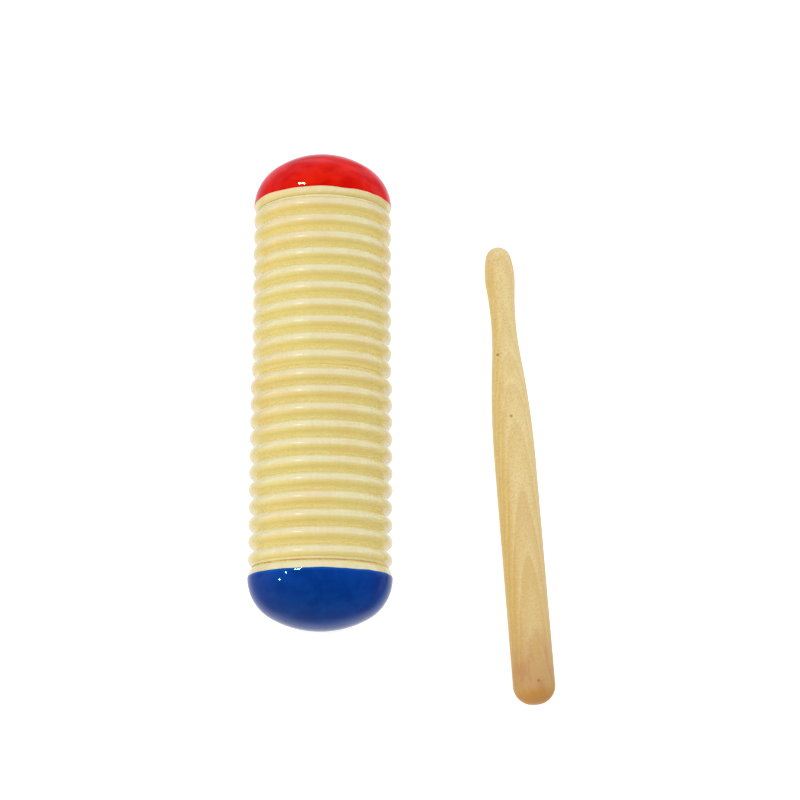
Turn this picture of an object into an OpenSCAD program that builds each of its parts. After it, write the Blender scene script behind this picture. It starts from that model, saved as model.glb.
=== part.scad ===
// Toy guiro with its scraper, both lying on a flat surface.
// The origin is on that surface, under the middle of the guiro. +Y runs along the guiro to its red end,
// +X points to the scraper, and +Z is up.

/* [Guiro body] */
// Radius over the ridges of the lower half, the one with the blue end
lower_crest_r = 30; // [29:0.5:34]
// How much smaller in radius the upper half, the one with the red end, was turned
half_step = 0.4; // [0:0.1:0.8]
// Distance from one ridge to the next
ridge_pitch = 7.3; // [7:0.1:7.6]
// Radius of the round along each ridge's crest
crest_round_r = 2.9; // [2.7:0.1:3.1]
// Slope of a ridge's flanks, measured from the guiro's axis
flank_angle = 58; // [50:1:58]
// Ridges on the upper half
upper_ridges = 10; // [6:1:14]
// Ridges on the lower half
lower_ridges = 11; // [6:1:14]
// Plain land that each half keeps beside the joint in the middle
joint_land = 0.25; // [0.1:0.05:0.5]
// What is cut off the last flank of each half, beside its end cap
end_trim = 0.3; // [0.1:0.1:0.6]
// Radius of the bore that runs through both halves
bore_r = 21; // [19:0.5:21]

/* [End caps] */
// Height of the red cap's dome
red_dome_h = 22.7; // [21:0.1:24]
// Radius of the red cap at its paint line
red_cap_r = 29.5; // [28.5:0.1:30]
// Width of the bare band under the red paint
red_band_w = 2.9; // [2:0.1:5]
// Open seam between the red cap's band and the upper half
red_seam_w = 0.15; // [0.05:0.05:0.8]
// Height of the blue cap's dome
blue_dome_h = 21.9; // [21:0.1:24]
// Radius of the blue cap at its paint line
blue_cap_r = 30; // [28.5:0.1:30]
// Width of the bare band above the blue paint
blue_band_w = 3.35; // [2:0.05:5]
// Open seam between the blue cap's band and the lower half
blue_seam_w = 0.6; // [0.05:0.05:0.8]
// How far each cap's band narrows from its paint line to its seam
band_taper = 1.6; // [0.5:0.1:2]
// Radius of the rounded shoulder of each dome
dome_shoulder_r = 19; // [17:0.5:20]
// Length of the spigot that plugs each cap into its half
spigot_len = 10; // [6:1:14]

/* [Joint sleeve] */
// Wall of the sleeve that joins the halves
sleeve_wall = 3; // [2:0.1:3]
// Length of the sleeve, half of it in each half of the body
sleeve_len = 16; // [10:1:24]
// Glue line left round the sleeve and the spigots
glue_gap = 0.05; // [0.02:0.01:0.1]

/* [Beads] */
// Diameter of a bead
bead_d = 4; // [3:0.1:4.2]
// Free space kept between neighbouring beads, and from a bead to the wood
bead_gap = 0.3; // [0.2:0.05:0.4]
// Beads that lie against the bore
floor_beads = 8; // [4:1:9]
// Beads that lie on top of those
upper_beads = 6; // [3:1:7]

/* [Scraper] */
// Length of the scraper
scraper_len = 200; // [180:1:220]
// Radius of its straight shank
shank_r = 8.9; // [8.5:0.1:9.5]
// Distance from the knob's tip to where the straight shank begins
shank_start = 96; // [90:1:105]
// Radius of the round at the edge of the butt end
butt_round_r = 8; // [6:0.5:8]
// Largest radius of the knob
knob_r = 6.6; // [6.5:0.1:7]
// Distance from the knob's tip to its largest radius
knob_at = 13.9; // [12:0.1:15]
// Radius of the round at the knob's tip
knob_tip_r = 5.6; // [5:0.1:6]
// Smallest radius of the waist behind the knob
waist_r = 5.45; // [5.3:0.05:5.6]
// Distance from the knob's tip to the waist
waist_at = 34.5; // [32:0.5:36]
// Distance from the guiro's axis to the middle of the scraper
scraper_x = 82.7; // [70:0.1:110]
// How far the scraper's middle lies from the guiro's, towards the red end
scraper_y = -31; // [-60:1:40]
// Angle between the scraper and the guiro
scraper_turn = 3.84; // [0:0.02:8]

/* [Hidden] */
function bead_name(i) = str("bead_", i < 9 ? "0" : "", i + 1);
bead_count = floor_beads + upper_beads;
bead_names = [for (i = [0 : bead_count - 1]) bead_name(i)];
$fn = 96;
crown_fn = 360; // sides of the long arc over a dome
bead_fn = 32; // sides of a bead
arc_steps = 12; // chords in each arc of the scraper's outline
waist_steps = 16; // chords in the longest of them, at the waist
past = 1; // how far a helper shape runs past what it cuts or joins
neck_wall = 3; // wood round the spigot that shows in each cap's seam

axis_z = lower_crest_r;
upper_crest_r = lower_crest_r - half_step;

// lengths along the guiro, from its blue tip to its red tip
upper_len = joint_land + upper_ridges * ridge_pitch - end_trim;
lower_len = joint_land + lower_ridges * ridge_pitch - end_trim;
red_cap_len = red_seam_w + red_band_w + red_dome_h;
blue_cap_len = blue_seam_w + blue_band_w + blue_dome_h;
guiro_len = blue_cap_len + lower_len + upper_len + red_cap_len;
joint_y = blue_cap_len + lower_len - guiro_len / 2;
upper_end_y = joint_y + upper_len;
lower_end_y = joint_y - lower_len;

// the ridge: a round crest with two straight flanks that meet the next ridge's in a sharp groove
crest_half_w = crest_round_r * sin(flank_angle);
crest_drop = crest_round_r * (1 - cos(flank_angle));
groove_depth = crest_drop + (ridge_pitch / 2 - crest_half_w) * tan(flank_angle);

// inside
sleeve_r = bore_r + sleeve_wall;
neck_r = bore_r + neck_wall;

// lanes that the beads run in, side by side along the bottom of the bore, in two layers
bead_r = bead_d / 2;
floor_lane_r = bore_r - bead_r - bead_gap;
upper_lane_r = floor_lane_r - bead_d - bead_gap;
chamber_end_y = lower_end_y + spigot_len;
bead_y = chamber_end_y + bead_gap + bead_r;

function lane_step(lane_r) = 2 * asin((bead_d + bead_gap) / 2 / lane_r);
function lane_angle(i, count, lane_r) = (i - (count - 1) / 2) * lane_step(lane_r);

// the scraper's outline: each arc's radius is the one that meets its neighbours without a kink
knob_side_r = long_arc_r(knob_at, knob_r, knob_tip_r);
waist_arc_r = ((waist_at - knob_at) ^ 2 + (knob_r - waist_r) ^ 2) / (2 * (knob_r - waist_r)) - knob_side_r;
shoulder_arc_r = ((shank_start - waist_at) ^ 2 + (shank_r - waist_r) ^ 2) / (2 * (shank_r - waist_r)) - waist_arc_r;

// radius of an oval's long arcs, from its half length, its half width and the radius of its ends
function long_arc_r(half_len, half_w, end_r) =
    ((half_len - end_r) ^ 2 + half_w ^ 2 - end_r ^ 2) / (2 * (half_w - end_r));

// direction from one point to another
function heading(from, to) = atan2(to.y - from.y, to.x - from.x);

// points along an arc, from one angle to another
function arc(centre, r, from, to, steps) =
    [for (i = [0 : steps]) let (a = from + (to - from) * i / steps) centre + r * [cos(a), sin(a)]];

// A quarter of an oval of two arcs that meet without a kink, with its half length along X
module quarter_oval(half_len, half_w, end_r) {
    long_r = long_arc_r(half_len, half_w, end_r);
    end_x = half_len - end_r;
    long_y = half_w - long_r;
    meet = [end_x, 0] + [end_x, -long_y] * end_r / norm([end_x, long_y]);
    intersection() {
        translate([end_x, 0]) circle(end_r);
        polygon([[end_x, 0], [half_len + past, 0], [half_len + past, meet.y], meet]);
    }
    intersection() {
        translate([0, long_y]) circle(long_r, $fn = crown_fn);
        polygon([[0, 0], [end_x, 0], meet, [meet.x, half_w + past], [0, half_w + past]]);
    }
}

// Turns a shape that stands on its end at z = 0 so that it lies along the guiro's axis from y
module along_guiro(y) {
    translate([0, y, axis_z]) rotate([-90, 0, 0]) children();
}

// One half of the body, from the joint at z = 0 to its end cap
module barrel(crest_r, ridges, len) {
    groove_r = crest_r - groove_depth;
    flank_r = crest_r - crest_drop;
    module outline() {
        intersection() {
            translate([bore_r, 0]) square([crest_r - bore_r + past, len]);
            union() {
                translate([bore_r, 0]) square([groove_r - bore_r, len]);
                for (i = [0 : ridges - 1])
                    translate([0, joint_land + (i + 0.5) * ridge_pitch]) {
                        polygon([
                            [groove_r - past, -ridge_pitch / 2], [groove_r, -ridge_pitch / 2],
                            [flank_r, -crest_half_w], [flank_r, crest_half_w],
                            [groove_r, ridge_pitch / 2], [groove_r - past, ridge_pitch / 2]
                        ]);
                        translate([crest_r - crest_round_r, 0]) circle(crest_round_r);
                    }
            }
        }
    }
    difference() {
        rotate_extrude() outline();
        translate([0, 0, -past]) cylinder(r = sleeve_r, h = sleeve_len / 2 + past);
    }
}

// An end cap: spigot and neck below z = 0, bare band and dome above
module end_cap(cap_r, dome_h, band_w, seam_w) {
    rotate_extrude() {
        polygon([
            [0, -spigot_len - seam_w], [bore_r - glue_gap, -spigot_len - seam_w],
            [bore_r - glue_gap, -seam_w], [neck_r, -seam_w], [neck_r, 0],
            [cap_r - band_taper, 0], [cap_r, band_w], [0, band_w]
        ]);
        translate([0, band_w]) quarter_oval(cap_r, dome_h, dome_shoulder_r);
    }
}

// The scraper, standing on the tip of its knob
module scraper_turning() {
    tip = [0, knob_tip_r];
    knob = [knob_r - knob_side_r, knob_at];
    waist = [waist_r + waist_arc_r, waist_at];
    shoulder = [shank_r - shoulder_arc_r, shank_start];
    butt = [shank_r - butt_round_r, scraper_len - butt_round_r];
    rotate_extrude() polygon(concat(
        arc(tip, knob_tip_r, -90, heading(knob, tip), arc_steps),
        arc(knob, knob_side_r, heading(knob, tip), heading(knob, waist), arc_steps),
        arc(waist, waist_arc_r, heading(waist, knob) + 360, heading(waist, shoulder), waist_steps),
        arc(shoulder, shoulder_arc_r, heading(shoulder, waist), 0, arc_steps),
        arc(butt, butt_round_r, 0, 90, arc_steps),
        [[0, scraper_len]]
    ));
}

module upper_barrel() {
    color([0.90, 0.85, 0.66])
        along_guiro(joint_y) barrel(upper_crest_r, upper_ridges, upper_len);
}

module lower_barrel() {
    color([0.91, 0.86, 0.68])
        translate([0, 2 * joint_y, 0]) mirror([0, 1, 0])
            along_guiro(joint_y) barrel(lower_crest_r, lower_ridges, lower_len);
}

module joint_sleeve() {
    len = sleeve_len - 2 * glue_gap;
    color([0.80, 0.66, 0.45])
        along_guiro(joint_y - len / 2)
            rotate_extrude() translate([bore_r, 0]) square([sleeve_wall - glue_gap, len]);
}

module red_end_cap() {
    color([0.90, 0.08, 0.06])
        along_guiro(upper_end_y + red_seam_w) end_cap(red_cap_r, red_dome_h, red_band_w, red_seam_w);
}

module blue_end_cap() {
    color([0.06, 0.22, 0.60])
        mirror([0, 1, 0]) along_guiro(blue_seam_w - lower_end_y)
            end_cap(blue_cap_r, blue_dome_h, blue_band_w, blue_seam_w);
}

module bead(i) {
    on_floor = i < floor_beads;
    lane_r = on_floor ? floor_lane_r : upper_lane_r;
    angle = on_floor
        ? lane_angle(i, floor_beads, lane_r)
        : lane_angle(i - floor_beads, upper_beads, lane_r);
    color([0.85, 0.80, 0.70])
        translate([lane_r * sin(angle), bead_y, axis_z - lane_r * cos(angle)]) sphere(bead_r, $fn = bead_fn);
}

module scraper() {
    color([0.85, 0.70, 0.48])
        translate([scraper_x, scraper_y, shank_r]) rotate([90, 0, scraper_turn])
            translate([0, 0, -scraper_len / 2]) scraper_turning();
}

upper_barrel();
lower_barrel();
joint_sleeve();
red_end_cap();
blue_end_cap();
scraper();
for (i = [0 : bead_count - 1]) bead(i);
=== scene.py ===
"""Toy guiro with its scraper, in Blender: lacquered wood, dipped enamel ends and a beech stick.

Lengths are in millimetres up to the point where a mesh is made, which is in metres.
The frame is the CAD model's: the guiro lies along Y with its red end at +Y, and +Z is up.
"""

import bisect
import math
import random

import bpy
from mathutils import Matrix, Vector, noise


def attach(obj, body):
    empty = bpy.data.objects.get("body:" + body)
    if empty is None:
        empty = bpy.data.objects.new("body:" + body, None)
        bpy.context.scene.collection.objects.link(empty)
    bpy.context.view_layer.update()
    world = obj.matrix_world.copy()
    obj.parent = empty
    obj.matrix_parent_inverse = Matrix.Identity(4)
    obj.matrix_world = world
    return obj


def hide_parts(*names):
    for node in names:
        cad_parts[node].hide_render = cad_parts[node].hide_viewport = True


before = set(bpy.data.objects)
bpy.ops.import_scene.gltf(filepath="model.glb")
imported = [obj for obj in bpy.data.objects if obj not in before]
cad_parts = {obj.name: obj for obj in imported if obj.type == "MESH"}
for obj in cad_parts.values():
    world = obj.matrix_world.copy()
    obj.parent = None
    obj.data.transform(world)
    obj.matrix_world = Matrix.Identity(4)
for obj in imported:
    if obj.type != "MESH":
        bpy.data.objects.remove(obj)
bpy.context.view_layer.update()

MM = 0.001

# ---------------------------------------------------------------- sizes, as in the CAD model

AXIS_Z = 30.0
JOINT_Y = 3.70
BORE_R = 21.0
SLEEVE_R = 24.0
SLEEVE_HALF_LEN = 8.0
NECK_R = 24.0
SPIGOT_R = 20.95
SPIGOT_LEN = 10.0

RIDGE_PITCH = 7.3
CREST_ROUND = 2.9
FLANK_ANGLE = math.radians(58)
JOINT_LAND = 0.25
END_TRIM = 0.3
CREST_HALF_W = CREST_ROUND * math.sin(FLANK_ANGLE)
CREST_DROP = CREST_ROUND * (1 - math.cos(FLANK_ANGLE))
GROOVE_DEPTH = CREST_DROP + (RIDGE_PITCH / 2 - CREST_HALF_W) * math.tan(FLANK_ANGLE)

# the two radii of 29.995 are 30 in the CAD, whose faceted curves lie a little inside that
UPPER = dict(crest_r=29.6, ridges=10, toward=1, seed=11)
LOWER = dict(crest_r=29.995, ridges=11, toward=-1, seed=23)

BAND_TAPER = 1.4  # a little less than the CAD's, so that the seam is as fine as the real one
SHOULDER_R = 19.0
RED_CAP = dict(cap_r=29.5, dome_h=22.7, band_w=2.9, seam_w=0.15, toward=1)
BLUE_CAP = dict(cap_r=29.995, dome_h=21.9, band_w=3.35, seam_w=0.6, toward=-1)

SCRAPER_LEN = 199.97  # a hair shorter than the CAD's, whose butt is faceted
SHANK_R = 8.9
SHANK_START = 96.0
BUTT_ROUND = 8.0
KNOB_R = 6.6
KNOB_AT = 13.9
KNOB_TIP_R = 5.6
WAIST_R = 5.45
WAIST_AT = 34.5
SCRAPER_MIDDLE = Vector((82.7, -31.0, SHANK_R))
SCRAPER_TURN = math.radians(3.84)

# ---------------------------------------------------------------- small variations of hand work

CREST_VARIATION = 0.10  # a ridge may be this much lower than its neighbours
RIDGE_SHIFT = 0.10  # and this far out of step
ROUND_WOBBLE = 0.05  # slow change of a ridge's height on its way round
RIDGE_DRIFT = 0.06  # slow wander of a ridge along the tube on its way round
GROOVE_ROUND = 0.15  # the tool's nose leaves the groove this round
EDGE_ROUND = 0.05  # broken edges of the caps
END_DROP = 1.65  # how far each half ends below its ridges, beside a cap
BAND_SLOPE = 0.85  # how far the bare band tapers before its edge rounds off beside the seam
BAND_CURVE = 8  # how suddenly that edge rounds off
STICK_WEAR = 0.05  # how far the scraper is out of round

GLUE_WAVE = 0.25  # how unevenly the glue stops short of the surface
GLUE_ROUND = 0.1
GLUE_GAP = 0.02  # clearance between the glue and the wood on either side
PAINT = 0.16  # thickness of the dipped enamel
PAINT_EDGE_WAVE = 0.28
PAINT_EDGE_FADE = 8.0  # the wave of the edge dies out this far up the dome
PAINT_LIP = 0.5  # the rounded lip at the paint's edge is this long

DIMPLE = dict(middle=Vector((1.7, -27.6, 12.5)), size=1.1, depth=0.40)  # in the blue cap's frame

# ---------------------------------------------------------------- fineness of the meshes

BODY_SIDES = 240
STICK_SIDES = 96
CREST_STEPS = 18
GROOVE_STEPS = 5
BAND_STEP = 0.2
SHOULDER_STEPS = 90
CROWN_STEPS = 40
PAINT_INNER_ROWS = 60
PAINT_OUTER_ROWS = 110
SHANK_STEP = 3.0


# ---------------------------------------------------------------- outlines

def arc(centre, radius, start, end, steps):
    """Points along an arc, as (across, along) pairs; the angles are in radians."""
    points = []
    for i in range(steps + 1):
        angle = start + (end - start) * i / steps
        points.append((centre[0] + radius * math.cos(angle), centre[1] + radius * math.sin(angle)))
    return points


def heading(start, end):
    """Direction of one point from another, in radians."""
    return math.atan2(end[1] - start[1], end[0] - start[0])


def split(start, end, step):
    """Points along a straight line, with the last one left out."""
    count = max(1, int(math.dist(start, end) / step))
    return [
        (start[0] + (end[0] - start[0]) * i / count, start[1] + (end[1] - start[1]) * i / count)
        for i in range(count)
    ]


def rounded(outline, radius, steps=4):
    """An open outline with each corner sharper than 20 degrees cut to a small round."""
    result = [outline[0]]
    for before, corner, after in zip(outline, outline[1:], outline[2:]):
        a, b, c = Vector(before), Vector(corner), Vector(after)
        turn = (b - a).angle(c - b, 0.0)
        if turn < math.radians(20):
            result.append(corner)
            continue
        reach = min(radius * math.tan(turn / 2), (b - a).length * 0.45, (c - b).length * 0.45)
        start = b + (a - b).normalized() * reach
        end = b + (c - b).normalized() * reach
        for i in range(steps + 1):
            t = i / steps
            point = start.lerp(b, t).lerp(b.lerp(end, t), t)
            result.append((point.x, point.y))
    result.append(outline[-1])
    return result


# ---------------------------------------------------------------- meshes

def make_piece(name, vertices, faces, place):
    """A smooth closed mesh; place turns a point in millimetres into the row frame."""
    mesh = bpy.data.meshes.new(name)
    mesh.from_pydata([place(Vector(v)) * MM for v in vertices], [], faces)
    mesh.validate()
    mesh.polygons.foreach_set("use_smooth", [True] * len(mesh.polygons))
    mesh.set_sharp_from_angle(angle=math.radians(50))
    piece = bpy.data.objects.new(name, mesh)
    bpy.context.collection.objects.link(piece)
    return piece


def ring_faces(count, sides, closed=False):
    """Four-sided faces between rings of points, one ring after the other."""
    faces = []
    for j in range(count if closed else count - 1):
        upper = j * sides
        lower = (j + 1) % count * sides
        for k in range(sides):
            m = (k + 1) % sides
            faces.append((upper + k, upper + m, lower + m, lower + k))
    return faces


def turned(name, outline, sides, place, shape=None, closed=False):
    """Turns an outline of (radius, height) points round the local Z axis.

    An open outline starts and ends on the axis. shape gives a point's real radius and height, from
    its angle and its two values in the outline.
    """
    rows = outline if closed else outline[1:-1]
    vertices = []
    for radius, height in rows:
        for k in range(sides):
            angle = 2 * math.pi * k / sides
            r, h = shape(angle, radius, height) if shape else (radius, height)
            vertices.append((r * math.cos(angle), r * math.sin(angle), h))
    faces = ring_faces(len(rows), sides, closed)
    if not closed:
        first = len(vertices)
        last = first + 1
        vertices += [(0, 0, outline[0][1]), (0, 0, outline[-1][1])]
        end = (len(rows) - 1) * sides
        for k in range(sides):
            m = (k + 1) % sides
            faces.append((first, m, k))
            faces.append((last, end + k, end + m))
    return make_piece(name, vertices, faces, place)


def along_guiro(start, toward):
    """Places a shape turned round Z on the guiro's axis: it starts at y = start and grows to +Y or -Y."""
    def place(v):
        return Vector((v.x, start + toward * v.z, AXIS_Z + toward * v.y))
    return place


def along_scraper(v):
    """Places the scraper, turned round Z with its knob's tip at the origin, where it lies."""
    lying = Vector((v.x, SCRAPER_LEN / 2 - v.z, v.y))
    return SCRAPER_MIDDLE + Matrix.Rotation(SCRAPER_TURN, 3, "Z") @ lying


def ripple(seed, angle, height, scale=1.0):
    """A smooth value between about -1 and 1 that changes slowly round and along a turned piece."""
    point = Vector((math.cos(angle) * scale, math.sin(angle) * scale, height * 0.02 * scale + seed * 7.3))
    return noise.noise(point) * 1.6


# ---------------------------------------------------------------- pieces

def barrel_outline(crest_r, ridges, seed):
    """Closed outline of one half of the body, from the joint at height 0 to its end cap."""
    rng = random.Random(seed)
    length = JOINT_LAND + ridges * RIDGE_PITCH - END_TRIM
    groove_r = crest_r - GROOVE_DEPTH
    outer = [(groove_r - 0.5, 0.0), (groove_r, 0.0), (groove_r, JOINT_LAND * 0.5)]
    for i in range(ridges):
        lower = CREST_VARIATION * rng.random()
        middle = JOINT_LAND + (i + 0.5) * RIDGE_PITCH + RIDGE_SHIFT * (rng.random() - 0.5) * 2
        centre = (crest_r - CREST_ROUND - lower, middle)
        crest = [
            (centre[0] + CREST_ROUND * math.cos(a), centre[1] + CREST_ROUND * math.sin(a))
            for a in [FLANK_ANGLE * (2 * k / CREST_STEPS - 1) for k in range(CREST_STEPS + 1)]
        ]
        groove = (groove_r, JOINT_LAND + (i + 1) * RIDGE_PITCH)
        if i == ridges - 1:
            groove = (crest_r - END_DROP, length)
        outer += crest + [groove]
    inner = [(BORE_R, length), (BORE_R, SLEEVE_HALF_LEN), (SLEEVE_R, SLEEVE_HALF_LEN), (SLEEVE_R, 0.0)]
    return rounded(outer, GROOVE_ROUND, GROOVE_STEPS) + inner


def barrel(name, crest_r, ridges, toward, seed):
    """One half of the body, with its ridges a little uneven on their way round."""
    def shape(angle, radius, height):
        on_the_outside = radius > SLEEVE_R + 0.5
        if not on_the_outside:
            return radius, height
        worn = ROUND_WOBBLE * (ripple(seed, angle, height) - 1) * 0.5
        drift = RIDGE_DRIFT * ripple(seed + 40, angle, height, 0.8) * min(1.0, height)
        return radius + worn, height + drift
    outline = barrel_outline(crest_r, ridges, seed)
    return turned(name, outline, BODY_SIDES, along_guiro(JOINT_Y, toward), shape, closed=True)


def cap_surface(cap_r, dome_h, band_w):
    """Outer surface of a cap from its seam to its tip, and how far along it the paint line comes.

    The dome is a shoulder arc and a flatter crown arc, which meet without a kink.
    """
    crown_r = ((cap_r - SHOULDER_R) ** 2 + dome_h ** 2 - SHOULDER_R ** 2) / (2 * (dome_h - SHOULDER_R))
    shoulder = (cap_r - SHOULDER_R, band_w)
    crown = (0.0, band_w + dome_h - crown_r)
    meet = heading(crown, shoulder)
    band = []
    for point in split((cap_r - BAND_TAPER, 0.0), (cap_r, band_w), BAND_STEP):
        share = point[1] / band_w
        edge = (BAND_TAPER - BAND_SLOPE) * (1 - share) ** BAND_CURVE
        band.append((cap_r - BAND_SLOPE * (1 - share) - edge, point[1]))
    dome = arc(shoulder, SHOULDER_R, 0.0, meet, SHOULDER_STEPS)[:-1]
    dome += arc(crown, crown_r, meet, math.pi / 2, CROWN_STEPS)
    return band + dome, math.dist(band[0], dome[0])


def inset(points, depth):
    """The same run of points moved inwards, square to the surface."""
    moved = []
    for i, (x, y) in enumerate(points):
        before = Vector(points[max(i - 1, 0)])
        after = Vector(points[min(i + 1, len(points) - 1)])
        d = (after - before).normalized()
        moved.append((max(x - d.y * depth, 0.0), y + d.x * depth))
    return moved


def pressed(dimple, angle, radius, height):
    """A cap's point, moved inwards if it lies in the dimple."""
    if not dimple:
        return radius, height
    point = Vector((radius * math.cos(angle), radius * math.sin(angle), height))
    reach = (point - dimple["middle"]).length / dimple["size"]
    if reach > 3:  # so far out that nothing is left of the dimple
        return radius, height
    scale = 1 - dimple["depth"] * math.exp(-reach * reach) / point.length
    return radius * scale, height * scale


def cap_wood(name, cap_r, dome_h, band_w, seam_w, toward, dimple=None):
    """The turned cap without its paint: spigot, neck, bare band and dome."""
    def shape(angle, radius, height):
        return pressed(dimple, angle, radius, height)
    surface, _ = cap_surface(cap_r, dome_h, band_w)
    skin = inset(surface, PAINT)
    skin[0] = (skin[0][0], 0.0)
    foot = -SPIGOT_LEN - seam_w
    outline = [(0.0, foot), (SPIGOT_R, foot), (SPIGOT_R, -seam_w), (NECK_R, -seam_w), (NECK_R, 0.0)]
    outline.append((skin[0][0] - 0.6, 0.0))
    outline = rounded(outline + skin[:-1] + [(0.0, skin[-1][1])], EDGE_ROUND)
    place = along_guiro(cap_start(toward) + toward * seam_w, toward)
    return turned(name, outline, BODY_SIDES, place, shape)


def seam_glue(name, cap_r, dome_h, band_w, seam_w, toward, seed, recess):
    """The glue that was squeezed into a cap's seam and stopped short of the surface, unevenly."""
    top = cap_r - BAND_TAPER - recess
    root = NECK_R + 0.05
    far = seam_w - GLUE_GAP
    shoulder = top - GLUE_ROUND
    outline = [(root, GLUE_GAP), (shoulder, GLUE_GAP), (top, seam_w * 0.3), (top, seam_w * 0.7)]
    outline += [(shoulder, far), (root, far)]

    def shape(angle, radius, height):
        if radius == root:
            return radius, height
        return radius - GLUE_WAVE * (1 + ripple(seed, angle, 0, 3.0)), height

    return turned(name, outline, BODY_SIDES, along_guiro(cap_start(toward), toward), shape, closed=True)


def cap_start(toward):
    """Where a half of the body ends, and its cap's seam begins."""
    ridges = UPPER["ridges"] if toward > 0 else LOWER["ridges"]
    return JOINT_Y + toward * (JOINT_LAND + ridges * RIDGE_PITCH - END_TRIM)


def surface_walk(surface):
    """The length of a run of points, and a function that gives the point at a distance and a depth."""
    along = [0.0]
    for a, b in zip(surface, surface[1:]):
        along.append(along[-1] + math.dist(a, b))

    def at(distance, depth):
        distance = min(max(distance, 0.0), along[-1])
        i = min(bisect.bisect_right(along, distance) - 1, len(along) - 2)
        a, b = Vector(surface[i]), Vector(surface[i + 1])
        d = (b - a).normalized()
        point = a.lerp(b, (distance - along[i]) / (along[i + 1] - along[i]))
        return point.x - d.y * depth, point.y + d.x * depth

    return along[-1], at


def cap_paint(name, cap_r, dome_h, band_w, seam_w, toward, seed, dimple=None):
    """The enamel coat: a thin closed shell over the dome, with a wavy edge that has a rounded lip."""
    surface, paint_line = cap_surface(cap_r, dome_h, band_w)
    total, on_surface = surface_walk(surface)
    span = total - paint_line

    # each row is a distance from the paint line and a depth: up the inside, round the lip, up the outside
    rows = [(span * (1 - k / PAINT_INNER_ROWS), PAINT) for k in range(1, PAINT_INNER_ROWS)]
    rows += [(0.13, PAINT), (0.08, PAINT), (0.03, PAINT), (0.0, PAINT)]
    rows += [(-0.02, PAINT * 0.75), (-0.01, PAINT * 0.45), (0.05, PAINT * 0.2)]
    rows += [(0.13, 0.03), (0.25, 0.0), (PAINT_LIP, 0.0)]
    step = (span - PAINT_LIP) / PAINT_OUTER_ROWS
    rows += [(PAINT_LIP + step * k, 0.0) for k in range(1, PAINT_OUTER_ROWS)]

    def shape(angle, distance, depth):
        wave = ripple(seed, angle, 0, 2.2) + 0.5 * ripple(seed + 3, angle, 0, 6.0)
        fade = max(0.0, 1.0 - distance / PAINT_EDGE_FADE) ** 2
        radius, height = on_surface(paint_line + distance + PAINT_EDGE_WAVE * wave * fade, depth)
        return pressed(dimple, angle, radius, height)

    top = band_w + dome_h
    outline = [(0.0, top - PAINT)] + rows + [(0.0, top)]
    place = along_guiro(cap_start(toward) + toward * seam_w, toward)
    return turned(name, outline, BODY_SIDES, place, shape)


def long_arc_r(half_len, half_w, end_r):
    """Radius of the side arc that runs into a round end of radius end_r without a kink."""
    return ((half_len - end_r) ** 2 + half_w ** 2 - end_r ** 2) / (2 * (half_w - end_r))


def between(reach, change):
    """Sum of two arcs' radii that take a line over a step without a kink."""
    return (reach ** 2 + change ** 2) / (2 * change)


def scraper_outline():
    """The scraper from the knob's tip to the butt: knob, waist, long shoulder, straight shank, round butt."""
    knob_side_r = long_arc_r(KNOB_AT, KNOB_R, KNOB_TIP_R)
    waist_r = between(WAIST_AT - KNOB_AT, KNOB_R - WAIST_R) - knob_side_r
    shoulder_r = between(SHANK_START - WAIST_AT, SHANK_R - WAIST_R) - waist_r
    tip = (0.0, KNOB_TIP_R)
    knob = (KNOB_R - knob_side_r, KNOB_AT)
    waist = (WAIST_R + waist_r, WAIST_AT)
    shoulder = (SHANK_R - shoulder_r, SHANK_START)
    butt = (SHANK_R - BUTT_ROUND, SCRAPER_LEN - BUTT_ROUND)
    outline = arc(tip, KNOB_TIP_R, -math.pi / 2, heading(knob, tip), 16)[:-1]
    outline += arc(knob, knob_side_r, heading(knob, tip), heading(knob, waist), 24)[:-1]
    outline += arc(waist, waist_r, heading(waist, knob) + 2 * math.pi, heading(waist, shoulder), 28)[:-1]
    outline += arc(shoulder, shoulder_r, heading(shoulder, waist), 0.0, 24)
    outline += split((SHANK_R, SHANK_START + 3), (SHANK_R, butt[1]), SHANK_STEP)
    outline += arc(butt, BUTT_ROUND, 0.0, math.pi / 2, 18)
    outline.append((0.0, SCRAPER_LEN))
    outline[0] = (0.0, 0.0)
    return outline


def scraper():
    """The whole stick, very slightly out of round from sanding."""
    def shape(angle, radius, height):
        worn = STICK_WEAR * (ripple(71, angle, height, 1.2) - 1) * 0.5
        return max(radius + worn, radius * 0.98), height
    return turned("scraper_stick", scraper_outline(), STICK_SIDES, along_scraper, shape)


# ---------------------------------------------------------------- material helpers

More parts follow.
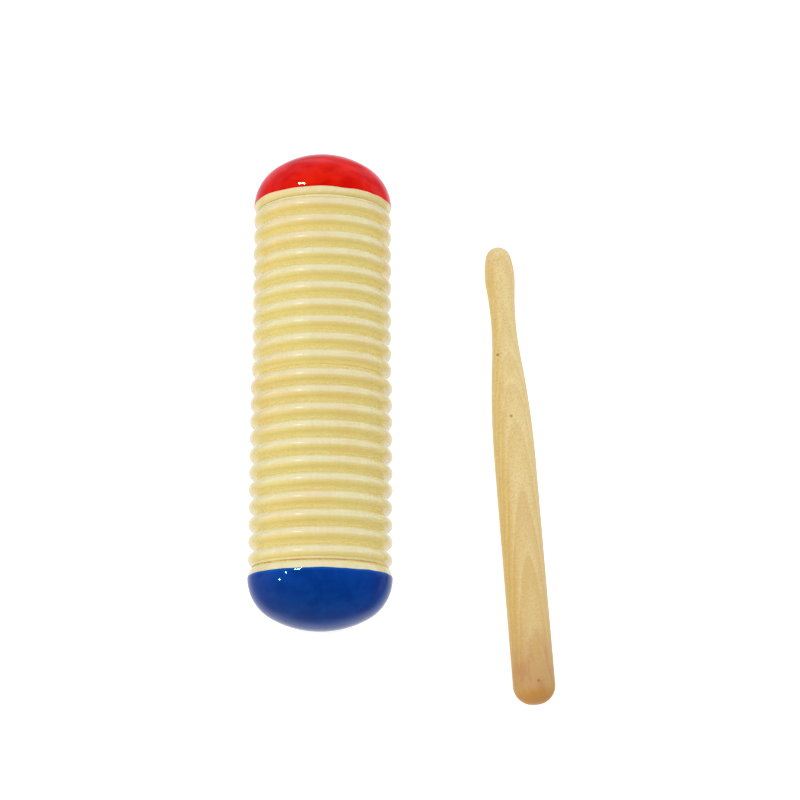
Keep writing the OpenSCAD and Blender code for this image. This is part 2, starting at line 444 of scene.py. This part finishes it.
class Graph:
    """Short calls for building the nodes of a material or of the world."""

    def __init__(self, tree):
        self.tree = tree
        self.tree.nodes.clear()
        self.place = self.add("ShaderNodeTexCoord").outputs

    def add(self, kind, inputs=None, **settings):
        node = self.tree.nodes.new(kind)
        for key, value in settings.items():
            setattr(node, key, value)
        for key, value in (inputs or {}).items():
            self.put(node, key, value)
        return node

    def put(self, node, key, value):
        if isinstance(value, bpy.types.NodeSocket):
            self.tree.links.new(value, node.inputs[key])
        else:
            node.inputs[key].default_value = value

    def math(self, operation, a, b=0.0):
        return self.add("ShaderNodeMath", {0: a, 1: b}, operation=operation).outputs[0]

    def vector(self, operation, a, b):
        """A vector operation that gives a vector."""
        return self.add("ShaderNodeVectorMath", {0: a, 1: b}, operation=operation).outputs["Vector"]

    def measure(self, operation, a, b=(0.0, 0.0, 0.0)):
        """A vector operation that gives a number."""
        return self.add("ShaderNodeVectorMath", {0: a, 1: b}, operation=operation).outputs["Value"]

    def parts(self, vector):
        return self.add("ShaderNodeSeparateXYZ", {0: vector}).outputs

    def join(self, x, y, z):
        return self.add("ShaderNodeCombineXYZ", {0: x, 1: y, 2: z}).outputs[0]

    def noise(self, vector, scale, detail=2.0, rough=0.5, twist=0.0):
        inputs = {"Vector": vector, "Scale": scale, "Detail": detail, "Roughness": rough, "Distortion": twist}
        return self.add("ShaderNodeTexNoise", inputs).outputs["Fac"]

    def grain(self, point, across, along, detail=3.0, rough=0.5):
        """Noise drawn out along Y: across and along are its frequencies per millimetre."""
        return self.noise(self.vector("MULTIPLY", point, (across, along, across)), 1.0, detail, rough)

    def spread(self, value, low, high, to_low=0.0, to_high=1.0, smooth=True):
        inputs = {"Value": value, "From Min": low, "From Max": high, "To Min": to_low, "To Max": to_high}
        kind = "SMOOTHSTEP" if smooth else "LINEAR"
        return self.add("ShaderNodeMapRange", inputs, interpolation_type=kind).outputs["Result"]

    def mix(self, factor, a, b, blend="MIX"):
        """Mixes two colours."""
        node = self.add("ShaderNodeMix", {0: factor, 6: a, 7: b}, data_type="RGBA", blend_type=blend)
        return node.outputs[2]

    def blend(self, factor, a, b):
        """Mixes two numbers."""
        return self.add("ShaderNodeMix", {0: factor, 2: a, 3: b}).outputs[0]

    def tint(self, colour, value, low, high, share, new_colour):
        """Takes up to that share of a new colour in where the value runs from low to high."""
        return self.mix(self.spread(value, low, high, 0.0, share), colour, rgb(*new_colour))

    def bump(self, height, distance_mm):
        return self.add("ShaderNodeBump", {"Height": height, "Distance": distance_mm * MM}).outputs[0]


class Finish(Graph):
    """A material with one Principled shader."""

    def __init__(self, name):
        self.material = bpy.data.materials.new(name)
        self.material.use_nodes = True
        super().__init__(self.material.node_tree)
        self.shader = self.add("ShaderNodeBsdfPrincipled")
        self.add("ShaderNodeOutputMaterial", {"Surface": self.shader.outputs["BSDF"]})

    def set(self, **inputs):
        """Sets or links the shader's inputs, with _ for each space in a name."""
        for key, value in inputs.items():
            self.put(self.shader, key.replace("_", " "), value)

    def point(self, offset=(0.0, 0.0, 0.0), turn=0.0):
        """The point on the piece in millimetres, turned about Z and shifted."""
        mapping = self.add("ShaderNodeMapping", {"Vector": self.place["Object"]}, vector_type="POINT")
        mapping.inputs["Scale"].default_value = (1 / MM,) * 3
        mapping.inputs["Rotation"].default_value = (0.0, 0.0, -turn)
        mapping.inputs["Location"].default_value = offset
        return mapping.outputs[0]


def rgb(red, green, blue):
    """A colour given as it looks on a screen, from 0 to 255."""
    def linear(value):
        value /= 255
        return value / 12.92 if value < 0.04045 else ((value + 0.055) / 1.055) ** 2.4
    return (linear(red), linear(green), linear(blue), 1.0)


# ---------------------------------------------------------------- colours

WOOD = dict(
    early=(232, 217, 145), late=(228, 211, 134), fibre=(209, 182, 100), fleck=(196, 165, 104),
    warm=(224, 192, 118), green=(222, 214, 138), cloud=(230, 196, 118), end_cut=(224, 204, 112),
    # groove is painted light: a lighter, yellower colour that lifts the shade in the grooves
    groove=(252, 234, 146)
)
UNLACQUERED = (0.8, 0.8 * 0.93, 0.8 * 0.82, 1.0)

# edge is painted light along the paint line: painted shade on the red lip, a painted reflection on the blue
# edge
RED_PAINT = dict(deep=(208, 4, 0), thin=(230, 28, 6), edge=(214, 2, 0), sheen=(1.0, 0.22, 0.08, 1.0))
BLUE_PAINT = dict(deep=(2, 48, 126), thin=(8, 60, 142), edge=(16, 92, 172), sheen=(0.12, 0.45, 1.0, 1.0))

BEECH = dict(
    knob_end=(234, 209, 132), butt_end=(215, 182, 104), late=(212, 166, 80), light_line=(230, 210, 154),
    blotch=(220, 182, 104), fibre=(214, 178, 100), dark_ray=(212, 164, 84), light_ray=(228, 216, 150),
    end_cut=(176, 118, 58), stain=(190, 128, 72), warm_end=(184, 130, 56), spot=(168, 96, 40)
)
BEECH_SPOTS = ((-4.0, 50.2), (-0.7, 22.0), (1.4, -90.8))  # across and along, from the stick's middle

GLUE = dict(light=(230, 200, 104), dark=(206, 160, 66))
BEAD = dict(light=(226, 204, 160), dark=(190, 150, 100))


# ---------------------------------------------------------------- materials

def pale_wood(name, offset, pith, lacquer=True):
    """Pale fine-grained wood under clear lacquer, turned with its grain along the guiro.

    The offset picks a part of the pattern, and pith is the middle of the tree's rings, as (x, z).
    """
    g = Finish(name)
    p = g.point(offset)
    x, y, z = g.parts(p)

    drift = g.grain(p, 0.03, 0.008)
    across = g.join(g.math("SUBTRACT", x, pith[0]), 0.0, g.math("SUBTRACT", z, pith[1]))
    ring_at = g.math("ADD", g.measure("LENGTH", across), g.math("MULTIPLY", drift, 9.0))
    rings = g.noise(g.join(ring_at, g.math("MULTIPLY", y, 0.01), 0.0), 0.55, 3.0, 0.6)
    fibres = g.grain(p, 2.6, 0.14, rough=0.6)
    flecks = g.grain(p, 3.4, 0.9, detail=2.0)
    clouds = g.grain(p, 0.05, 0.03, detail=2.0)
    mottle = g.noise(p, 0.9, 3.0, 0.6)

    colour = g.mix(g.spread(rings, 0.35, 0.7), rgb(*WOOD["early"]), rgb(*WOOD["late"]))
    colour = g.tint(colour, fibres, 0.5, 0.75, 0.14, WOOD["fibre"])
    colour = g.tint(colour, flecks, 0.62, 0.74, 0.16, WOOD["fleck"])
    colour = g.tint(colour, mottle, 0.50, 0.72, 0.35, WOOD["warm"])
    colour = g.tint(colour, mottle, 0.48, 0.30, 0.30, WOOD["green"])
    colour = g.tint(colour, clouds, 0.42, 0.7, 0.45, WOOD["cloud"])

    end_cut = g.math("ABSOLUTE", g.parts(g.place["Normal"])[1])
    colour = g.tint(colour, end_cut, 0.25, 0.7, 0.35, WOOD["end_cut"])
    # painted light: the grooves, and the bare band beside each cap's seam, are made lighter and yellower to
    # lift their shade
    off_axis = g.vector("SUBTRACT", g.point(), (0.0, 0.0, AXIS_Z))
    from_axis = g.measure("LENGTH", g.vector("MULTIPLY", off_axis, (1.0, 0.0, 1.0)))
    colour = g.tint(colour, from_axis, 28.7, 26.9, 0.7, WOOD["groove"])
    if not lacquer:
        colour = g.mix(1.0, colour, UNLACQUERED, "MULTIPLY")

    chatter = g.noise(g.join(0.0, g.math("MULTIPLY", y, 5.0), 0.0), 1.0)
    relief = g.math("ADD", g.math("MULTIPLY", fibres, 0.7), g.math("MULTIPLY", chatter, 0.35))
    relief = g.math("ADD", relief, g.math("MULTIPLY", flecks, 0.4))
    g.set(Base_Color=colour, Normal=g.bump(relief, 0.006), IOR=1.5)
    if lacquer:
        g.set(Roughness=g.spread(g.noise(p, 0.35, 3.0), 0.3, 0.7, 0.22, 0.32))
        g.set(Coat_Weight=1.0, Coat_Roughness=0.24, Coat_IOR=1.9, Coat_Normal=g.bump(relief, 0.0012))
    else:
        g.set(Roughness=0.7)
    return g.material


def enamel(name, deep, thin, edge, sheen, cap, seed):
    """Dipped gloss enamel with a faint unevenness of cover, and a painted band along its edge: painted shade
    on the red, a painted reflection on the blue.
    """
    g = Finish(name)
    p = g.point((seed * 13.0, 0.0, seed * 5.0))
    cover = g.noise(p, 0.10, 3.0, 0.55, 0.4)
    brushed = g.grain(p, 0.9, 0.22, rough=0.6)
    colour = g.mix(g.spread(cover, 0.35, 0.7), rgb(*deep), rgb(*thin))
    colour = g.tint(colour, brushed, 0.55, 0.8, 0.25, deep)
    # painted light beside the paint line: painted shade on the red lip, a painted reflection on the blue edge
    line_y = cap_start(cap["toward"]) + cap["toward"] * (cap["seam_w"] + cap["band_w"])
    from_line = g.math("ABSOLUTE", g.math("SUBTRACT", g.parts(g.point())[1], line_y))
    colour = g.tint(colour, from_line, 1.3, 0.1, 0.6, edge)
    relief = g.math("ADD", g.noise(p, 0.07, 1.0), g.math("MULTIPLY", brushed, 0.008))
    rough = g.spread(g.noise(p, 0.8, 3.0), 0.35, 0.7, 0.03, 0.06)
    g.set(Base_Color=colour, Roughness=rough, Normal=g.bump(relief, 0.10), IOR=1.27, Specular_Tint=sheen)
    return g.material


def dried_glue(name):
    """Amber glue with a dull skin."""
    g = Finish(name)
    clots = g.noise(g.point(), 0.5, 3.0)
    colour = g.mix(g.spread(clots, 0.35, 0.7), rgb(*GLUE["light"]), rgb(*GLUE["dark"]))
    g.set(Base_Color=colour, Roughness=g.spread(clots, 0.3, 0.7, 0.3, 0.6), Normal=g.bump(clots, 0.1))
    return g.material


def beech(name):
    """Satin beech with ray flecks and arched growth rings, darker and redder towards the butt."""
    g = Finish(name)
    middle = Matrix.Rotation(-SCRAPER_TURN, 3, "Z") @ SCRAPER_MIDDLE
    p = g.point(-middle, SCRAPER_TURN)
    x, y, z = g.parts(p)

    # flat-sawn rings rise slowly along the stick, which draws the arches
    drift = g.grain(p, 0.10, 0.022)
    ring_at = g.math("SUBTRACT", z, g.math("MULTIPLY", y, 0.067))
    ring_at = g.math("ADD", ring_at, g.math("MULTIPLY", x, 0.12))
    ring_at = g.math("ADD", ring_at, g.math("MULTIPLY", drift, 2.2))
    phase = g.math("FRACT", g.math("DIVIDE", ring_at, 2.1))
    late = g.math("MULTIPLY", g.spread(phase, 0.0, 0.10), g.spread(phase, 0.15, 1.0, 1.0, 0.0))
    late = g.math("MULTIPLY", late, g.spread(y, 70.0, -90.0, 0.25, 0.65))
    light_line = g.math("MULTIPLY", g.spread(phase, 0.86, 0.96), g.spread(phase, 0.96, 1.0, 1.0, 0.0))
    rays = g.grain(p, 1.7, 1.2, rough=0.65)
    fibres = g.grain(p, 1.6, 0.08, rough=0.6)
    blotches = g.grain(p, 0.30, 0.10, rough=0.6)

    colour = g.mix(g.spread(y, 20.0, -100.0), rgb(*BEECH["knob_end"]), rgb(*BEECH["butt_end"]))
    colour = g.mix(late, colour, rgb(*BEECH["late"]))
    colour = g.mix(g.math("MULTIPLY", light_line, 0.20), colour, rgb(*BEECH["light_line"]))
    colour = g.tint(colour, blotches, 0.45, 0.7, 0.35, BEECH["blotch"])
    colour = g.tint(colour, fibres, 0.45, 0.75, 0.20, BEECH["fibre"])
    colour = g.tint(colour, rays, 0.48, 0.70, 0.75, BEECH["dark_ray"])
    colour = g.tint(colour, rays, 0.46, 0.30, 0.45, BEECH["light_ray"])

    # the butt: end grain, a reddish stain and a general darkening
    axis = Matrix.Rotation(SCRAPER_TURN, 3, "Z") @ Vector((0.0, 1.0, 0.0))
    facing = g.math("ABSOLUTE", g.measure("DOT_PRODUCT", g.place["Normal"], axis))
    end_cut = g.math("MULTIPLY", g.spread(facing, 0.15, 0.85), g.spread(y, -80.0, -96.0))
    colour = g.mix(g.math("MULTIPLY", end_cut, 0.9), colour, rgb(*BEECH["end_cut"]))
    stain = g.math("MULTIPLY", g.spread(blotches, 0.45, 0.65), g.spread(y, -60.0, -92.0, 0.0, 0.7))
    colour = g.mix(stain, colour, rgb(*BEECH["stain"]))
    colour = g.tint(colour, y, -62.0, -98.0, 0.72, BEECH["warm_end"])

    for spot_x, spot_y in BEECH_SPOTS:
        gap = g.measure("DISTANCE", g.join(x, y, 0.0), (spot_x, spot_y, 0.0))
        colour = g.tint(colour, gap, 0.9, 0.3, 0.8, BEECH["spot"])

    relief = g.math("ADD", g.math("MULTIPLY", fibres, 0.6), g.math("MULTIPLY", rays, 0.5))
    rough = g.spread(g.noise(p, 0.3, 3.0), 0.3, 0.7, 0.42, 0.55)
    g.set(Base_Color=colour, Roughness=rough, Normal=g.bump(relief, 0.03), IOR=1.5)
    g.set(Coat_Weight=0.35, Coat_Roughness=0.3, Coat_IOR=1.5, Coat_Normal=g.bump(relief, 0.01))
    return g.material


def bead_gloss(name):
    """Small natural wooden beads with a dull polish."""
    g = Finish(name)
    veins = g.noise(g.vector("MULTIPLY", g.point(), (2.0, 0.5, 2.0)), 1.0, 3.0, 0.6, 0.5)
    colour = g.mix(g.spread(veins, 0.35, 0.7), rgb(*BEAD["light"]), rgb(*BEAD["dark"]))
    g.set(Base_Color=colour, Roughness=g.spread(veins, 0.3, 0.7, 0.35, 0.5), Normal=g.bump(veins, 0.03))
    return g.material


def paper(name):
    """White floor paper, lit so far past white that shadows on it stay faint."""
    g = Finish(name)
    tooth = g.noise(g.point(), 1.5)
    colour = g.mix(tooth, (0.90, 0.90, 0.90, 1.0), (0.92, 0.92, 0.92, 1.0))
    g.set(Base_Color=colour, Roughness=0.9, Normal=g.bump(tooth, 0.02))
    g.set(Emission_Color=(1.0, 1.0, 1.0, 1.0), Emission_Strength=0.5)
    return g.material


def plain_white(name):
    """A surface that gives its own white light and takes none."""
    g = Finish(name)
    g.set(Base_Color=(0.0, 0.0, 0.0, 1.0), Roughness=1.0, Specular_IOR_Level=0.0)
    g.set(Emission_Color=(1.0, 1.0, 1.0, 1.0), Emission_Strength=1.1)
    return g.material


# ---------------------------------------------------------------- the object

def dress(piece, material, body, slot, *nodes):
    """Gives a piece its material and body; slot is not used; nodes are the CAD nodes that it stands for."""
    piece.data.materials.append(material)
    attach(piece, body)
    if nodes:
        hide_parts(*nodes)


def build_object():
    upper_wood = pale_wood("upper_wood", (40.0, 15.0, 7.0), (55.0, 90.0))
    lower_wood = pale_wood("lower_wood", (-20.0, 60.0, 31.0), (-60.0, 85.0))
    red_cap_wood = pale_wood("red_cap_wood", (5.0, 33.0, -12.0), (35.0, -40.0))
    blue_cap_wood = pale_wood("blue_cap_wood", (15.0, -21.0, 52.0), (70.0, 20.0))
    raw_wood = pale_wood("raw_wood", (0.0, 11.0, 3.0), (20.0, 60.0), lacquer=False)
    red = enamel("red_enamel", **RED_PAINT, cap=RED_CAP, seed=2)
    blue = enamel("blue_enamel", **BLUE_PAINT, cap=BLUE_CAP, seed=7)
    glue = dried_glue("dried_glue")
    bead_finish = bead_gloss("bead_finish")

    dress(barrel("upper_barrel_turned", **UPPER), upper_wood, "guiro", "bare_wood", "upper_barrel")
    dress(barrel("lower_barrel_turned", **LOWER), lower_wood, "guiro", "bare_wood", "lower_barrel")
    red_core = cap_wood("red_cap_core", **RED_CAP)
    blue_core = cap_wood("blue_cap_core", **BLUE_CAP, dimple=DIMPLE)
    dress(red_core, red_cap_wood, "guiro", "bare_wood", "red_end_cap")
    dress(blue_core, blue_cap_wood, "guiro", "bare_wood", "blue_end_cap")
    dress(cap_paint("red_cap_coat", **RED_CAP, seed=5), red, "guiro", "red_enamel")
    dress(cap_paint("blue_cap_coat", **BLUE_CAP, seed=8, dimple=DIMPLE), blue, "guiro", "blue_enamel")
    dress(seam_glue("red_seam_glue", **RED_CAP, seed=31, recess=0.02), glue, "guiro", "bare_wood")
    dress(seam_glue("blue_seam_glue", **BLUE_CAP, seed=37, recess=0.25), glue, "guiro", "bare_wood")
    dress(scraper(), beech("beech_wood"), "scraper", "beech", "scraper")

    # the sleeve and the beads keep their CAD meshes
    for name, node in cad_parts.items():
        if name == "joint_sleeve" or name.startswith("bead_"):
            node.data.materials.clear()
            node.data.materials.append(raw_wood if name == "joint_sleeve" else bead_finish)


# ---------------------------------------------------------------- studio

CAMERA_AT = Vector((32.68, -198.28, 838.76))
CAMERA_TURN = (math.radians(13.436), 0.0, math.radians(-0.123))
CAMERA_LENS = 88.84
SENSOR = 36.0

STAGE_R = 4.0  # metres
DOME_STEPS = 12
DOME_SIDES = 48

WINDOW_DISTANCE = 3.0  # metres
ENAMEL = ("red_cap_coat", "blue_cap_coat")
WOODEN = ("upper_barrel_turned", "lower_barrel_turned", "red_cap_core", "blue_cap_core", "scraper_stick")
# name, direction, size round and along the guiro in metres, radiance, and the pieces that show it
WINDOWS = (
    ("window_on_enamel", (-0.545, 0.076, 0.835), 0.50, 0.14, 900.0, ENAMEL),
    ("window_left", (-0.793, -0.03, 0.609), 0.15, 0.13, 1200.0, ENAMEL),
    ("window_low", (-0.882, -0.245, 0.403), 0.15, 0.13, 500.0, ENAMEL),
    ("window_far", (-0.49, 0.49, 0.72), 0.55, 0.16, 1500.0, ENAMEL),
    ("window_on_wood", (-0.545, 0.076, 0.835), 0.36, 0.08, 45.0, WOODEN),
)

ROOM_SIDE = Vector((0.0, 0.952, 0.307))  # towards the bright half of the room
ROOM_EDGE = -0.079  # where the dark half begins, as a share of that direction
ROOM_EDGE_BLUR = 0.025
ROOM_BRIGHT = (1.02, 1.10, 1.42, 1.0)
ROOM_DARK = (1.00, 0.86, 0.42, 1.0)
ROOM_FLOOR = (1.0, 1.0, 1.0, 1.0)


def add_camera():
    camera = bpy.data.cameras.new("camera")
    camera.lens = CAMERA_LENS
    camera.sensor_width = SENSOR
    camera.clip_start = 0.01
    camera.clip_end = 50.0
    camera.dof.use_dof = False
    holder = bpy.data.objects.new("camera", camera)
    holder.location = CAMERA_AT * MM
    holder.rotation_euler = CAMERA_TURN
    bpy.context.collection.objects.link(holder)
    bpy.context.scene.camera = holder


def stage_piece(name, vertices, faces, material):
    mesh = bpy.data.meshes.new(name)
    mesh.from_pydata(vertices, [], faces)
    mesh.materials.append(material)
    piece = bpy.data.objects.new(name, mesh)
    bpy.context.collection.objects.link(piece)
    return piece


def add_floor():
    corners = [(-STAGE_R, -STAGE_R, 0), (STAGE_R, -STAGE_R, 0), (STAGE_R, STAGE_R, 0), (-STAGE_R, STAGE_R, 0)]
    floor = stage_piece("floor", corners, [(0, 1, 2, 3)], paper("floor_paper"))
    floor.visible_glossy = False


def add_backdrop():
    """A plain white dome that only the camera sees; the light comes from the room behind it."""
    vertices = []
    for radius, height in arc((0.0, 0.0), STAGE_R, -0.05, math.pi / 2 - 0.01, DOME_STEPS):
        for k in range(DOME_SIDES):
            angle = 2 * math.pi * k / DOME_SIDES
            vertices.append((radius * math.cos(angle), radius * math.sin(angle), height))
    roof = tuple(range(DOME_STEPS * DOME_SIDES, (DOME_STEPS + 1) * DOME_SIDES))
    faces = [roof] + ring_faces(DOME_STEPS + 1, DOME_SIDES)
    backdrop = stage_piece("backdrop", vertices, faces, plain_white("backdrop_white"))
    backdrop.visible_diffuse = False
    backdrop.visible_glossy = False
    backdrop.visible_transmission = False
    backdrop.visible_shadow = False


def add_window(name, direction, length, width, radiance, pieces):
    """A small bright window far away that only makes glints, and only on the given pieces.

    Its long side follows the guiro's roundness, so that the glints are long.
    """
    light = bpy.data.lights.new(name, "AREA")
    light.shape = "RECTANGLE"
    light.size = length
    light.size_y = width
    light.energy = radiance * math.pi * length * width
    holder = bpy.data.objects.new(name, light)
    toward = Vector(direction).normalized()
    long_side = Vector((0.0, 1.0, 0.0)).cross(toward).normalized()
    short_side = toward.cross(long_side)
    holder.location = toward * WINDOW_DISTANCE
    holder.rotation_euler = Matrix((long_side, short_side, toward)).transposed().to_euler()
    holder.visible_diffuse = False
    bpy.context.collection.objects.link(holder)
    lit = bpy.data.collections.new(name + "_lights")
    for piece in pieces:
        lit.objects.link(bpy.data.objects[piece])
    holder.light_linking.receiver_collection = lit


def add_room():
    """A soft room all round: one half bright, the other darker and warmer, and white from below.

    The darker half fades to the right, and the bright half has uneven walls below its even ceiling.
    """
    world = bpy.data.worlds.new("room")
    world.use_nodes = True
    bpy.context.scene.world = world
    g = Graph(world.node_tree)
    direction = g.place["Generated"]
    x, _, z = g.parts(direction)

    side = g.measure("DOT_PRODUCT", direction, ROOM_SIDE)
    bright = g.spread(side, ROOM_EDGE - ROOM_EDGE_BLUR, ROOM_EDGE + ROOM_EDGE_BLUR)
    below = g.spread(z, -0.60, -0.88)
    colour = g.mix(below, g.mix(bright, ROOM_DARK, ROOM_BRIGHT), ROOM_FLOOR)

    dark_half = g.spread(x, -0.6, 1.0, 1.08, 0.42, smooth=False)
    walls = g.spread(g.noise(direction, 2.2, 1.0), 0.40, 0.58, 0.55, 1.20)
    bright_half = g.blend(g.spread(z, 0.35, 0.75), walls, 1.09)
    strength = g.blend(bright, dark_half, bright_half)
    strength = g.math("MULTIPLY", strength, g.spread(z, -0.6, 0.1, 0.5, 1.0))
    strength = g.blend(below, strength, 0.9)

    background = g.add("ShaderNodeBackground", {"Color": colour, "Strength": strength})
    g.add("ShaderNodeOutputWorld", {"Surface": background.outputs[0]})


def set_view():
    view = bpy.context.scene.view_settings
    view.view_transform = "Standard"
    view.look = "None"
    view.exposure = 0.0
    view.gamma = 1.0


build_object()
add_camera()
add_floor()
add_backdrop()
for window in WINDOWS:
    add_window(*window)
add_room()
set_view()
